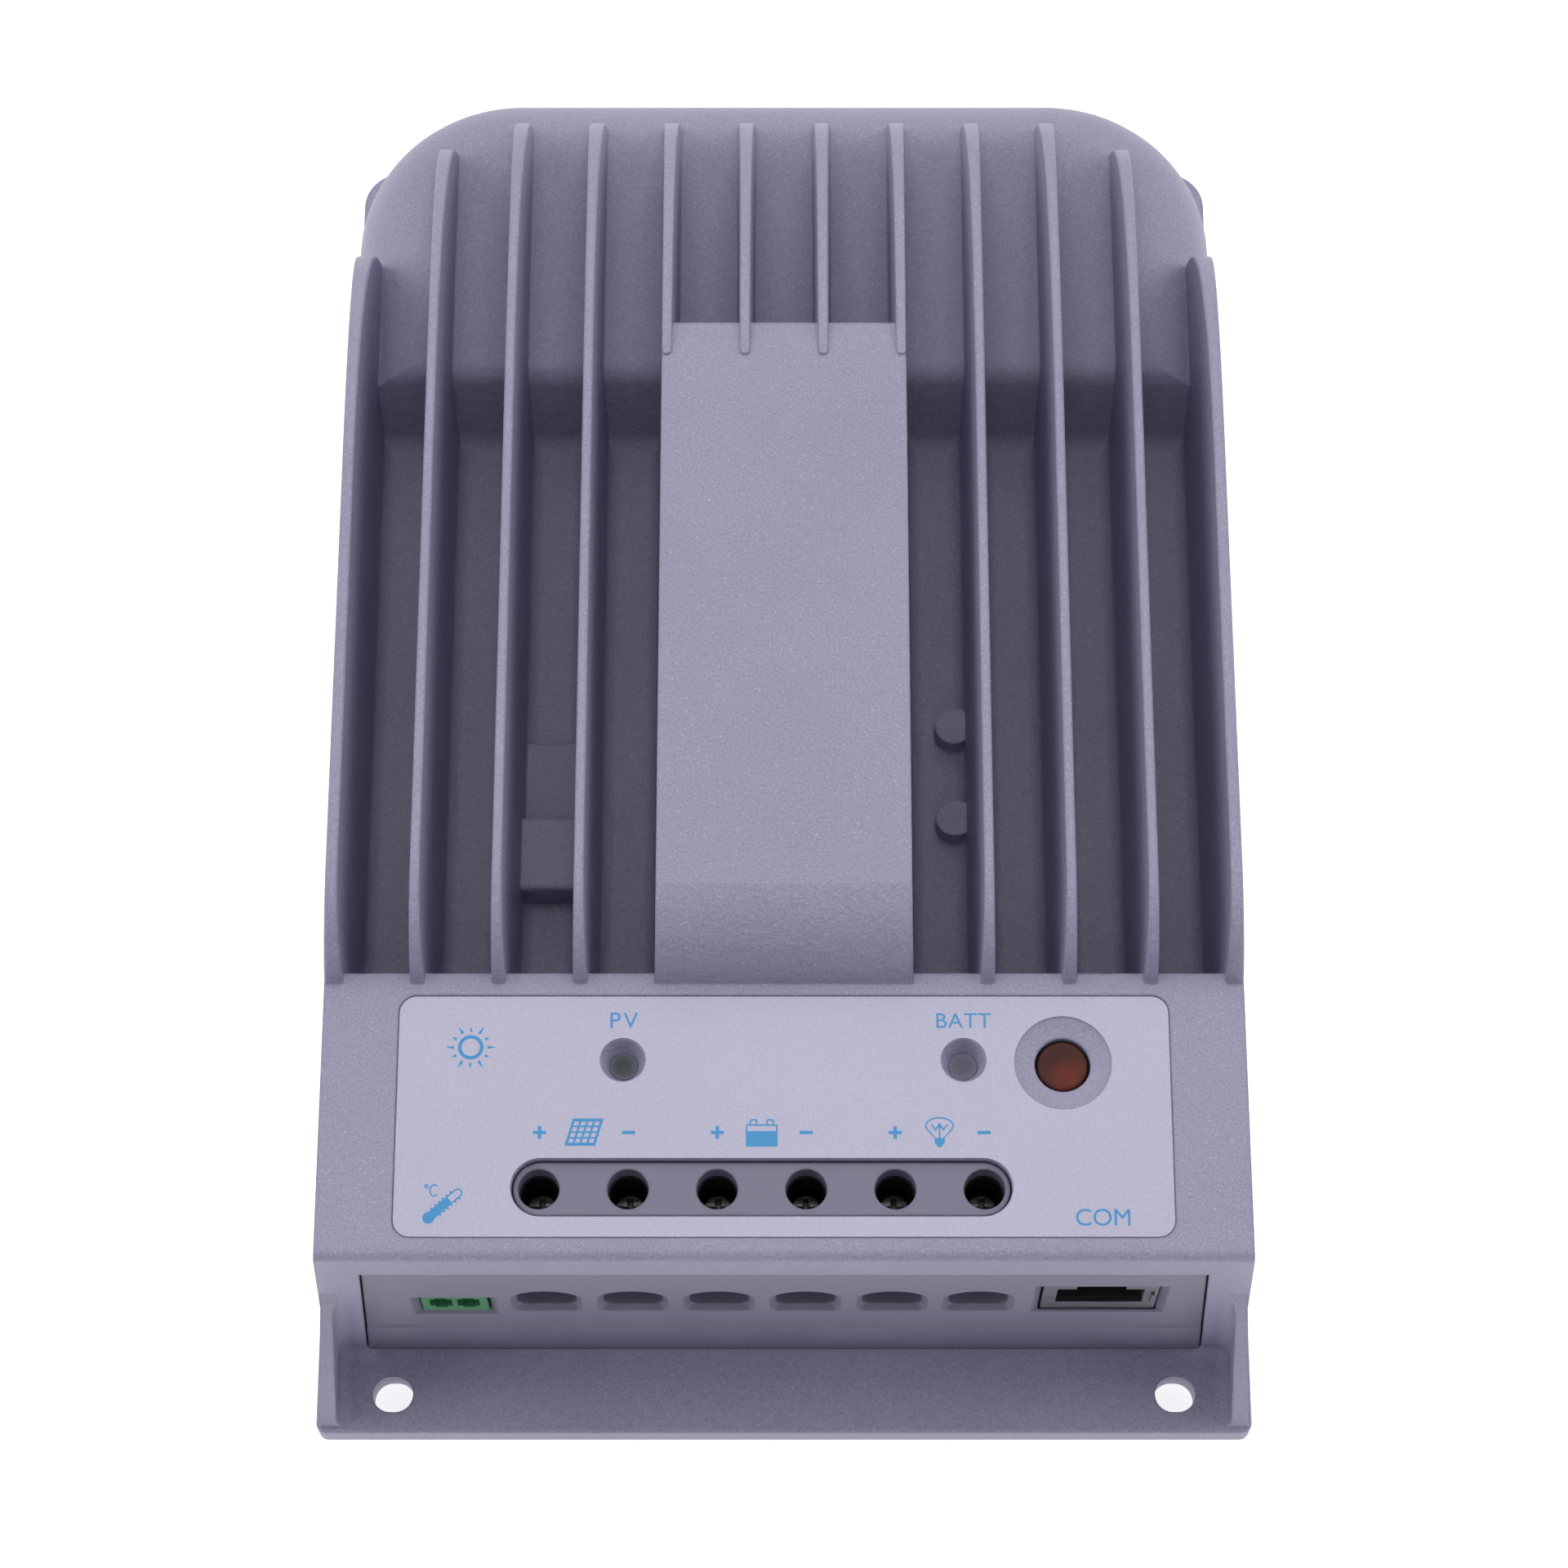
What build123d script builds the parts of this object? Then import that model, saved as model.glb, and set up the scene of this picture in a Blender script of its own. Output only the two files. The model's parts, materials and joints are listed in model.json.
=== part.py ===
"""Solar charge controller with a finned die-cast housing.

The controller lies on its back. +Z points out of its front, +X to the right
and +Y up the unit, away from its terminals. The origin is the centre of the
rectangle it fills, on the mounting plane. All lengths are millimetres.
Heights are z. Distances up the unit are counted from the front edge of the
lower flange and turned into y by at().
"""
from build123d import *
from math import radians, tan
import os

os.makedirs("parts", exist_ok=True)

# ---------------------------------------------------------------- driving sizes
LENGTH = 205.0          # flange edge to the ends of the upper ears
BASE_HALF = 67.1        # half width over the flange
DEPTH = 64.0            # mounting plane to the fin crests
DRAFT = 3.6             # casting draft of the outer walls, degrees
GUSSET_DRAFT = 5.4
GAP = 0.3               # clearance between loose neighbours

# housing
BODY_HALF = 66.3        # half width of the body at the mounting plane
BODY_FRONT = 12.3       # plane of the lip over the terminals
BODY_END = 200.6
CORNER_R = 26.5
FLANGE_T = 4.5
FLANGE_R = 1.5          # corners of the flange
GUSSET_T = 2.7
FOOT_R = 2.0            # rounding between flange, gussets and body
DECK_Z = 54.0           # label deck
DECK_END = 52.6         # where the deck meets the fin channels
FIN_FOOT = 51.1         # where the fins rise from the deck
CREST_START = 65.2      # where their rounded lower end reaches full height
DECK_T = 3.0
FLOOR_Z = 31.5          # floor of the lower channels
SHELF_Z = 44.5          # raised floor of the upper channels
SKIN_T = 2.3
SHELF_Y = 148.0         # plateau wall and start of the raised floor
RAMP = 5.5              # length of the ramp up to the raised floor
ROLL_R = 11.0           # rounding of the upper body edge
PLATEAU_Z = 63.7
SCOOP = 5.0             # length of the hollows at the upper end of the plateau

# fins
PITCH = 11.15
CREST_HALF = 0.68
CREST_R = 0.4           # rounding of the fin crests
FIN_SLOPE = 0.0314      # growth of the fin half thickness per mm of depth
CHANNELS = range(-5, 6)
PLATEAU_CHANNELS = (-1, 0, 1)

# mounting slots
SLOT_X = 56.2
SLOT_LOW = 5.6
SLOT_HIGH = 200.6
SLOT_W = 5.2
SLOT_L = 5.8

# lip recess and cavity
RECESS_HALF = 60.4      # at the mounting plane
LIP_Z = 46.0
HOOK_HALF = 58.2
BAND_TOP = 17.0         # top of the face's lower band
BAND_STEP = 0.4         # how far that band stands proud
COVER_T = 2.0
CAVITY_HALF = 62.0
PCB_TOP = 24.2
PCB_T = 1.6
PCB_BOTTOM = PCB_TOP - PCB_T
PCB_HALF = 52.5
PCB_START = 15.6
PCB_END = 180.0
UI_TOP = 43.0
UI_T = 1.6

# terminals
TERMINAL_X = [-33.0 + 12.0 * i for i in range(6)]
TERMINAL_MID = sum(TERMINAL_X) / len(TERMINAL_X)
SCREW_Y = 22.3
ENTRY_W = 8.25
ENTRY_Z = (26.0, 32.4, 35.2)   # sill, spring line and crown of the arch
ENTRY_CORNER = 1.4
BAND_L = 67.4
BAND_W = 7.9
BAND_Z = 53.0
BLOCK_Y = (17.4, 28.5)
CHAMBER_HALF = 3.4       # half length of a clamp chamber along Y
BLOCK_TOP = 49.4
CAGE_Z = (25.7, 34.55)   # clamp cage fully lowered
CAGE_HALF = 4.0
CAGE_FLOOR = 1.2
CAGE_ROOF = 1.6
BAR_HALF = 2.9
BAR_Z = (31.45, 32.65)   # fixed bus strip through the cage
HEAD_Z = (40.6, 43.0)
HEAD_R = 2.3
THREAD_R = 1.75

# connectors
RJ_X = 43.7
RJ_W = 15.9
RJ_Y = (13.1, 29.1)
RJ_TOP = 37.4
RJ_OPEN_Z = (28.5, 35.1)
RJ_OPEN_W = 11.8
SENSOR_X = -45.8
SENSOR_W = 9.2
SENSOR_Y = (13.0, 22.2)
SENSOR_TOP = 31.4
SENSOR_PITCH = 3.81

# front panel
LABEL_L = 104.8
LABEL_W = 33.8
LABEL_Y = 32.35
LABEL_T = 0.25
LED_X = {"pv": -21.9, "batt": 24.4}
LED_Y = 40.2
WELL_R = 3.05
WELL_DEPTH = 3.0
LENS_R = 1.9
BUTTON_X = 37.9
BUTTON_Y = 39.8
BUTTON_R = 3.5
BUTTON_TOP = 52.6
COLLAR_R = 4.7           # flange that keeps the button in
GUIDE_R = COLLAR_R + GAP
DISC_R = 6.65
DISH_DEPTH = 1.5         # of the ring around the button, at its centre

# boards, fasteners and bosses
LINK_X = 8.0             # pin row between the boards
LINK_Y = 36.0
LINK_PIN_X = [LINK_X + (i - 2.5) * 2.54 for i in range(6)]
BOSS_X = 47.0
BOSS_Y = (57.0, 100.0, 142.0)
COVER_SCREWS = [(side * 57.3, y) for side in (-1, 1) for y in (24.0, 78.0, 132.0)]
COVER_SCREWS += [(side * 45.0, 186.0) for side in (-1, 1)]
UI_SCREWS = [(-10.0, 44.0), (31.0, 44.0)]
M3_R = 1.5
M3_HOLE_R = 1.6

nodes = {}


def at(y):
    return y - LENGTH / 2


def block(x, y, z):
    """Box between (low, high) pairs."""
    middle = Pos((x[0] + x[1]) / 2, at((y[0] + y[1]) / 2), (z[0] + z[1]) / 2)
    return middle * Box(x[1] - x[0], y[1] - y[0], z[1] - z[0])


def about(x, y, z, size_x, size_y, height):
    """Box centred on (x, y) that stands on z."""
    return Pos(x, at(y), z + height / 2) * Box(size_x, size_y, height)


def rod(x, y, z, radius):
    """Upright cylinder between two heights."""
    return Pos(x, at(y), (z[0] + z[1]) / 2) * Cylinder(radius, z[1] - z[0])


def plan(half_width, low, high, corner_r):
    """Body outline with its two upper corners rounded."""
    sheet = Pos(0, at((low + high) / 2)) * Rectangle(2 * half_width, high - low)
    return fillet(sheet.vertices().group_by(Axis.Y)[-1], corner_r)


def stadium(x, y, length, width, z):
    """Upright obround bar between two heights, long in X."""
    return Pos(x, at(y), z[0]) * extrude(SlotOverall(length, width), z[1] - z[0])


def polygon_prism(points, x):
    corners = [(at(y), z) for y, z in points]
    face = Plane.YZ.offset(x[0]) * make_face(Polyline(*corners, close=True))
    return extrude(face, x[1] - x[0], dir=(1, 0, 0))


def front_prism(face, y):
    """Face drawn in X and Z, extruded between two distances."""
    return extrude(Plane.XZ.offset(-at(y[0])) * face, y[1] - y[0], dir=(0, 1, 0))


# ---------------------------------------------------------------- housing
def crest_envelope(tip_y, x):
    """Everything under the fin crests: deck, rounded lower end, crest, fall to the tips."""
    sky = DEPTH
    start = (at(BODY_FRONT), 0)
    deck_front = (at(BODY_FRONT), DECK_Z)
    foot = (at(FIN_FOOT), DECK_Z)
    crest = (at(CREST_START), sky)
    fall = (at(min(134.0, tip_y - 40)), sky)
    tip = (at(tip_y), SHELF_Z - 1.0)
    wires = [
        Line(start, deck_front),
        Line(deck_front, foot),
        TangentArc(crest, foot, tangent=(-1, 0)),
        Line(crest, fall),
        Bezier(fall, (at(tip_y - 22.0), sky), (at(tip_y - 3.0), sky - 5.5), tip),
        Line(tip, (tip[0], 0)),
        Line((tip[0], 0), start),
    ]
    face = Plane.YZ.offset(x[0]) * make_face(wires)
    return extrude(face, x[1] - x[0], dir=(1, 0, 0))


def channel_section(index, floor, corner_r):
    """Section of one channel between two fins, wider at the top."""
    middle = index * PITCH
    top = DEPTH + 8.0
    half_floor = PITCH / 2 - CREST_HALF - (DEPTH - floor) * FIN_SLOPE
    half_top = PITCH / 2 - CREST_HALF - (DEPTH - top) * FIN_SLOPE
    corners = [
        (middle - half_floor, floor),
        (middle + half_floor, floor),
        (middle + half_top, top),
        (middle - half_top, top),
    ]
    face = make_face(Polyline(*corners, close=True))
    return fillet(face.vertices().group_by(Axis.Y)[0], corner_r)


def deep_channel(index):
    """Lower channel: deck edge at its foot, rounded ramp up to the raised floor."""
    start = FIN_FOOT - 4.0
    end = SHELF_Y + 8.0
    top = DEPTH + 9.0
    run = front_prism(channel_section(index, FLOOR_Z, 2.0), (start, end))
    ramp_foot = (at(SHELF_Y + 1.0 - RAMP), FLOOR_Z)
    ramp_head = (at(SHELF_Y + 1.0), SHELF_Z)
    corners = [(at(start), DECK_Z), (at(DECK_END), DECK_Z), (at(DECK_END), FLOOR_Z), ramp_foot,
               ramp_head, (at(end), SHELF_Z), (at(end), top), (at(start), top)]
    face = make_face(Polyline(*corners, close=True))
    bends = [v for v in face.vertices() if (v.X, v.Y) in (ramp_foot, ramp_head)]
    face = fillet(bends, 3.5)
    middle = index * PITCH
    return run & extrude(Plane.YZ.offset(middle - PITCH) * face, 2 * PITCH, dir=(1, 0, 0))


def tapered(half_width, low, high, corner_r, z, draft=DRAFT):
    return Pos(0, 0, z[0]) * extrude(plan(half_width, low, high, corner_r), z[1] - z[0], taper=draft)


def cast_body():
    """Outside of the casting, still solid inside."""
    full = tapered(BODY_HALF, 5.0, BODY_END, CORNER_R, (0, DEPTH))
    wide = 80.0
    outer = 5 * PITCH
    inner = 4 * PITCH
    upper = full & crest_envelope(190.5, (-inner, inner))
    for low, high, tip in ((inner, outer, 186.0), (outer, wide, 168.0)):
        upper += full & crest_envelope(tip, (low, high))
        upper += full & crest_envelope(tip, (-high, -low))
    cuts = [deep_channel(i) for i in CHANNELS if i not in PLATEAU_CHANNELS]
    end = LENGTH + 5
    cuts += [front_prism(channel_section(i, 20.0, 0.5), (SHELF_Y, end)) for i in CHANNELS]
    scoop_y = (SHELF_Y - SCOOP, SHELF_Y + 1.0)
    half = 1.5 * PITCH
    cuts.append(block((-half - 2, half + 2), (DECK_END, scoop_y[0]), (PLATEAU_Z, DEPTH + 5)))
    hollow = [(scoop_y[0], PLATEAU_Z), (scoop_y[1], PLATEAU_Z - 1.4), (scoop_y[1], DEPTH + 5),
              (scoop_y[0], DEPTH + 5)]
    for i in PLATEAU_CHANNELS:
        run = front_prism(channel_section(i, PLATEAU_Z - 2.0, 1.2), scoop_y)
        cuts.append(run & polygon_prism(hollow, (-half, half)))
    upper -= cuts
    for x in (-half, -PITCH / 2, PITCH / 2, half):
        upper += rod(x, scoop_y[0], (PLATEAU_Z - 1, DEPTH), CREST_HALF)
    low_body = tapered(BODY_HALF, 5.0, BODY_END, CORNER_R, (0, SHELF_Z))
    top_face = low_body.faces().sort_by(Axis.Z)[-1]
    rolled = [e for e in top_face.edges() if e.center().Y > at(20)]
    low_body = fillet(rolled, ROLL_R)
    low_body &= block((-wide, wide), (BODY_FRONT, LENGTH), (-1, DEPTH))
    low_body -= [deep_channel(i) for i in CHANNELS if i not in PLATEAU_CHANNELS]
    return upper + low_body


def flange_and_ears():
    """Lower mounting flange, upper ears and the skirt around the foot of the body."""
    flange = block((-BASE_HALF, BASE_HALF), (0, 20), (0, FLANGE_T))
    corners = flange.edges().filter_by(Axis.Z).group_by(Axis.Y)[0]
    flange = fillet(corners, FLANGE_R)
    front = flange.faces().sort_by(Axis.Z)[-1].edges().sort_by(Axis.Y)[0]
    flange = fillet(front, 0.5)
    ear_half = 9.2
    ears = Part()
    for side in (-1, 1):
        ear = about(side * (BASE_HALF - ear_half), LENGTH - 11.0, 0, 2 * ear_half, 22.0, FLANGE_T)
        outer = ear.edges().filter_by(Axis.Z).group_by(Axis.Y)[-1]
        ear = fillet(outer, 6.0)
        ears += ear
    skirt = tapered(BASE_HALF, 8.0, BODY_END + 0.8, CORNER_R + 0.8, (0, 3.0))
    skirt = chamfer(skirt.faces().sort_by(Axis.Z)[-1].edges(), 0.7)
    return flange + ears + skirt


def gussets():
    """Triangular ribs from the flange's ends up to the lip, flush with the body at the top."""
    shell = tapered(BASE_HALF, -3.0, 40.0, 1.0, (0, 40.0), GUSSET_DRAFT)
    shell -= tapered(BASE_HALF - GUSSET_T, -9.0, 49.0, 1.0, (0, 41.0))
    behind = BODY_FRONT + 3
    front_edge = [(0.5, 1.0), (0.8, 4.5), (2.0, 8.0), (5.0, 17.5), (BODY_FRONT, 36.0)]
    rib = polygon_prism(front_edge + [(behind, 36.0), (behind, 1.0)], (-80.0, 80.0))
    column = block((-BASE_HALF, BASE_HALF), (0, 20), (0, 40))
    column = fillet(column.edges().filter_by(Axis.Z).group_by(Axis.Y)[0], FLANGE_R)
    return shell & rib & column


def slot_holes():
    holes = Part()
    for x in (-SLOT_X, SLOT_X):
        for y in (SLOT_LOW, SLOT_HIGH):
            holes += stadium(x, y, SLOT_L, SLOT_W, (-1, FLANGE_T + 8))
    return holes


def terminal_face(z, y, inset):
    """Prism of the terminal face: its sides follow the draft, its lower corners are rounded."""
    halves = [RECESS_HALF - inset - height * tan(radians(DRAFT)) for height in z]
    corners = [(-halves[0], z[0]), (halves[0], z[0]), (halves[1], z[1]), (-halves[1], z[1])]
    face = make_face(Polyline(*corners, close=True))
    return front_prism(fillet(face.vertices().group_by(Axis.Y)[0], 1.8 - inset), y)


def cavity():
    """Room for the electronics, open at the back."""
    wall_in = BODY_HALF - CAVITY_HALF
    main = tapered(CAVITY_HALF, 10.0, BODY_END - wall_in, CORNER_R - wall_in, (COVER_T, FLOOR_Z - SKIN_T))
    main &= block((-80, 80), (BODY_FRONT + 3.4, LENGTH), (0, DEPTH))
    low = FLOOR_Z - SKIN_T - 1
    under_deck = block((-59.0, 59.0), (BODY_FRONT + 3.4, DECK_END - 3), (low, DECK_Z - DECK_T))
    under_plateau = block((-14.0, 14.0), (DECK_END + 7.5, SHELF_Y - 3), (low, PLATEAU_Z - 3))
    under_plateau = fillet(under_plateau.edges().group_by(Axis.Z)[-1], 2.5)
    under_shelf = tapered(57.0, SHELF_Y - 20, 190.0, 20.0, (low, SHELF_Z - 3.3))
    under_shelf &= block((-80, 80), (SHELF_Y + 4, LENGTH), (0, DEPTH))
    cover_seat = extrude(plan(CAVITY_HALF + 2.0, BODY_FRONT + 5, BODY_END - 2.4, CORNER_R - 2.4), COVER_T)
    return main + under_deck + under_plateau + under_shelf + cover_seat


def deck_openings():
    """Label recess, terminal slot, indicator wells, button hole and its dished ring."""
    recess = about(0, LABEL_Y, DECK_Z - LABEL_T, LABEL_L + 0.4, LABEL_W + 0.4, 1.0)
    recess = fillet(recess.edges().filter_by(Axis.Z), 2.5)
    cuts = [recess, stadium(TERMINAL_MID, SCREW_Y, BAND_L, BAND_W, (DECK_Z - 6, DECK_Z + 1))]
    for x in LED_X.values():
        well = Pos(x, at(LED_Y), DECK_Z - WELL_DEPTH / 2) * Cone(LENS_R + 0.1, WELL_R, WELL_DEPTH)
        cuts += [well, rod(x, LED_Y, (DECK_Z - 8, DECK_Z), LENS_R + 0.05)]
    sagitta = DISH_DEPTH - LABEL_T
    dish_r = (DISC_R ** 2 + sagitta ** 2) / (2 * sagitta)
    cuts.append(Pos(BUTTON_X, at(BUTTON_Y), DECK_Z - DISH_DEPTH + dish_r) * Sphere(dish_r))
    cuts.append(rod(BUTTON_X, BUTTON_Y, (DECK_Z - 5, DECK_Z), BUTTON_R + GAP))
    return cuts


def bosses():
    """Screw bosses, and cast features in three of the channels."""
    posts = Part()
    holes = Part()
    for x, y in COVER_SCREWS:
        posts += rod(x, y, (COVER_T, FLOOR_Z - 1), 3.9)
        holes += rod(x, y, (COVER_T - 1, 16.0), M3_HOLE_R)
    for side in (-1, 1):
        for y in BOSS_Y:
            posts += rod(side * BOSS_X, y, (PCB_TOP, FLOOR_Z - 1), 3.6)
            holes += rod(side * BOSS_X, y, (PCB_TOP - 1, FLOOR_Z - 1.6), M3_HOLE_R)
    under_deck = DECK_Z - DECK_T + 0.5
    for x in LED_X.values():
        posts += rod(x, LED_Y, (48.4, under_deck), 4.0)
    posts += rod(BUTTON_X, BUTTON_Y, (UI_TOP + GAP, under_deck), GUIDE_R + 1.0)
    holes += rod(BUTTON_X, BUTTON_Y, (UI_TOP, DECK_Z - DECK_T), GUIDE_R)
    for x, y in UI_SCREWS:
        posts += rod(x, y, (UI_TOP, under_deck), 3.0)
        holes += rod(x, y, (UI_TOP - 1, DECK_Z - DECK_T - 1), M3_HOLE_R)
    left = -3 * PITCH
    pad = block((left - 4.4, left + 4.4), (71.0, 82.0), (FLOOR_Z - 0.5, FLOOR_Z + 5.5))
    step = block((left - 4.4, left + 4.4), (82.0, 95.0), (FLOOR_Z - 0.5, FLOOR_Z + 1.2))
    pad = fillet(pad.edges().group_by(Axis.Z)[-1].filter_by(Axis.X), 0.8)
    posts += pad + step
    for y in (82.8, 97.0):
        posts += rod(2 * PITCH + 2.3, y, (FLOOR_Z - 0.5, FLOOR_Z + 3.2), 2.75)
    return posts, holes


def corner_edges(body):
    """Inside edges where flange, gusset and body front meet."""
    inner = BASE_HALF - 5.6
    front = at(BODY_FRONT)
    found = []
    for edge in body.edges():
        middle = edge.center()
        near_side = inner < abs(middle.X) < BASE_HALF - 1.0
        ahead = at(1.0) < middle.Y < front + 0.05
        on_flange = abs(middle.Z - FLANGE_T) < 0.01
        on_front = abs(middle.Y - front) < 0.01
        along_gusset = near_side and on_flange and ahead and edge.length > 8.0
        along_body = on_flange and on_front and edge.length > 60.0
        up_gusset = near_side and on_front and 10.0 < middle.Z < 30.0 and edge.length > 20.0
        if along_gusset or along_body or up_gusset:
            found.append(edge)
    return found


def crest_edges(body):
    """Both edges of the straight run of each fin crest."""
    return [e for e in body.edges() if abs(e.center().Z - DEPTH) < 0.01 and e.length > 50.0]


def housing():
    body = cast_body()
    body = fillet(crest_edges(body), CREST_R)
    deck_front = body.edges().filter_by(Axis.X).filter_by(
        lambda e: abs(e.center().Z - DECK_Z) < 0.01 and abs(e.center().Y - at(BODY_FRONT)) < 0.01)
    body = fillet(deck_front, 1.4)
    posts, holes = bosses()
    body += flange_and_ears()
    body += gussets()
    body = fillet(corner_edges(body), FOOT_R)
    body -= cavity()
    body -= terminal_face((FLANGE_T, LIP_Z), (BODY_FRONT - FOOT_R - 0.2, BODY_FRONT + 4), 0.0)
    body -= block((-80, 80), (-1, BODY_FRONT - 0.01), (40.0, DEPTH))
    body += posts
    body -= holes
    body -= slot_holes()
    body -= deck_openings()
    return body


# ---------------------------------------------------------------- fasteners
def pan_screw(x, y, seat, length):
    """Pan-head screw driven up from the back, its head seated at one height."""
    head = Cylinder(2.7, 2.0, align=(Align.CENTER, Align.CENTER, Align.MIN))
    head = fillet(head.edges().group_by(Axis.Z)[-1], 0.8)
    recess = Pos(0, 0, 1.0) * Box(3.2, 0.7, 2.2, align=(Align.CENTER, Align.CENTER, Align.MIN))
    head -= [recess, Rot(0, 0, 90) * recess]
    shank = Cylinder(M3_R, length, align=(Align.CENTER, Align.CENTER, Align.MAX))
    screw = head + shank
    return Pos(x, at(y), seat) * Rot(180, 0, 0) * screw


def countersunk_screw(x, y, length):
    """Flat-head screw sunk flush into the outside of the back cover."""
    head = Cone(2.9, M3_R, 1.5, align=(Align.CENTER, Align.CENTER, Align.MIN))
    shank = Cylinder(M3_R, length, align=(Align.CENTER, Align.CENTER, Align.MIN))
    recess = Box(3.0, 0.7, 0.9, align=(Align.CENTER, Align.CENTER, Align.MIN))
    return Pos(x, at(y), 0) * (head + shank - [recess, Rot(0, 0, 90) * recess])


# ---------------------------------------------------------------- back cover
def back_cover():
    """Pressed plate that closes the back, with stiffening ribs inside."""
    inset = 0.25
    low = BODY_FRONT + 5 + inset
    high = BODY_END - 2.4 - inset
    plate = extrude(plan(CAVITY_HALF + 2.0 - inset, low, high, CORNER_R - 2.7), COVER_T)
    for y in (60.0, 100.0, 140.0, 170.0):
        plate += about(0, y, COVER_T, 84.0, 2.0, 1.6)
    for x in (-34.0, 34.0):
        plate += about(x, 115.0, COVER_T, 2.0, 110.0, 1.6)
    for x, y in COVER_SCREWS:
        plate -= rod(x, y, (-1, 5), M3_HOLE_R + 0.05)
        plate -= Pos(x, at(y), 0.75 - 0.01) * Cone(3.05, M3_HOLE_R, 1.52)
    return plate


# ---------------------------------------------------------------- terminal insert
def arch_face(x, grow):
    """Outline of a cable entry, drawn in X and Z."""
    low, spring, top = ENTRY_Z
    half = ENTRY_W / 2 + grow
    left = (x - half, low - grow)
    right = (x + half, low - grow)
    wires = [
        Line(left, right),
        Line(right, (x + half, spring)),
        ThreePointArc((x + half, spring), (x, top + grow), (x - half, spring)),
        Line((x - half, spring), left),
    ]
    face = make_face(wires)
    return fillet(face.vertices().group_by(Axis.Y)[0], ENTRY_CORNER)


def arch(x, y, grow=0.0):
    """Arched cable entry, a bar along Y between two distances."""
    return front_prism(arch_face(x, grow), y)


def entry_bevel(x, y_face):
    """Sloping rim around a cable entry."""
    face = arch_face(x, 0.8)
    return extrude(Plane.XZ.offset(-at(y_face - 0.01)) * face, 0.9, dir=(0, 1, 0), taper=40)


def window_bevel(x, half_w, z, y_face):
    """Sloping rim cut around a connector window."""
    middle = (z[0] + z[1]) / 2
    size = Rectangle(2 * half_w + 2.0, z[1] - z[0] + 2.0)
    face = Plane.XZ.offset(-at(y_face - 0.01)) * Pos(x, middle) * size
    return extrude(face, 0.9, dir=(0, 1, 0), taper=45)


def snap_hook(side, half, back_y):
    """Tongue behind the face that catches inside the housing wall."""
    tongue = about(side * (half - 1.0), back_y + 1.6, 20.0, 2.0, 4.2, 12.0)
    barb = about(side * half, BODY_FRONT + 5.4, 20.0, 2.6, 1.6, 8.5)
    return tongue + barb


def terminal_insert():
    """Moulded terminal face, its roof and the band that shows through the deck."""
    face_y = BODY_FRONT + 0.3
    back_y = face_y + 2.4
    top = LIP_Z - 0.15
    plate = terminal_face((FLANGE_T + 0.15, top), (face_y - BAND_STEP, back_y), GAP)
    # the face above its lower band, set back over a small sloping step
    set_back = [(face_y - 1, BAND_TOP), (face_y - BAND_STEP, BAND_TOP), (face_y, BAND_TOP + 0.5),
                (face_y, LIP_Z), (face_y - 1, LIP_Z)]
    plate -= polygon_prism(set_back, (-80, 80))
    left = TERMINAL_X[0] - 6.2
    right = TERMINAL_X[-1] + 6.2
    wall_y = BODY_FRONT + 3.7
    roof_z = DECK_Z - DECK_T - GAP
    body = plate
    web_end = BLOCK_Y[0] - GAP
    body += block((left, right), (back_y - 0.5, web_end), (LIP_Z - 3.2, top))
    body += block((left, right), (wall_y, web_end), (LIP_Z - 3.2, roof_z))
    body += block((left, right), (wall_y, BLOCK_Y[1] + 1), (roof_z - 1.0, roof_z))
    body += stadium(TERMINAL_MID, SCREW_Y, BAND_L - 0.5, BAND_W - 0.5, (roof_z - 0.5, BAND_Z))
    for x in TERMINAL_X:
        body += arch(x, (back_y - 0.1, BLOCK_Y[0] - GAP), 1.0)
    for x in TERMINAL_X:
        body -= arch(x, (face_y - 1, BLOCK_Y[0] + 1))
        body -= entry_bevel(x, face_y)
        body -= rod(x, SCREW_Y, (roof_z - 4, BAND_Z + 1), 2.8)
    windows = ((RJ_X, RJ_W, 25.6, RJ_TOP), (SENSOR_X, SENSOR_W, 24.4, SENSOR_TOP))
    for x, width, sill, height in windows:
        window_half = width / 2 + GAP
        head = height + GAP
        body -= block((x - window_half, x + window_half), (face_y - 1, back_y + 1), (sill, head))
        body -= block((x - window_half, x + window_half), (face_y + 0.4, back_y + 1), (PCB_TOP - 0.1, head))
        body -= window_bevel(x, window_half, (sill, head), face_y)
    for side in (-1, 1):
        body += snap_hook(side, HOOK_HALF, back_y)
    return body


# ---------------------------------------------------------------- terminals
def terminal_block():
    """Six-way block: a chamber for each clamp, a head bore and a cable mouth."""
    left = TERMINAL_X[0] - 6.2
    right = TERMINAL_X[-1] + 6.2
    body = block((left, right), BLOCK_Y, (PCB_TOP, BLOCK_TOP))
    chamber_y = (SCREW_Y - CHAMBER_HALF, SCREW_Y + CHAMBER_HALF)
    half = CAGE_HALF + GAP
    neck = HEAD_Z[0] - 1.5
    for x in TERMINAL_X:
        body -= block((x - half, x + half), chamber_y, (CAGE_Z[0] - GAP, neck))
        body -= rod(x, SCREW_Y, (HEAD_Z[0] - 0.1, BLOCK_TOP + 1), HEAD_R + GAP)
        body -= rod(x, SCREW_Y, (neck - 0.1, HEAD_Z[0]), THREAD_R + 0.05)
        body -= block((x - 4.1, x + 4.1), (BLOCK_Y[0] - 1, SCREW_Y), (26.4, ENTRY_Z[2]))
        bar_slot = (BAR_Z[0] - 0.1, BAR_Z[1] + 0.1)
        body -= block((x - BAR_HALF - 0.2, x + BAR_HALF + 0.2), (SCREW_Y, BLOCK_Y[1] + 1), bar_slot)
    return body


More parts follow.
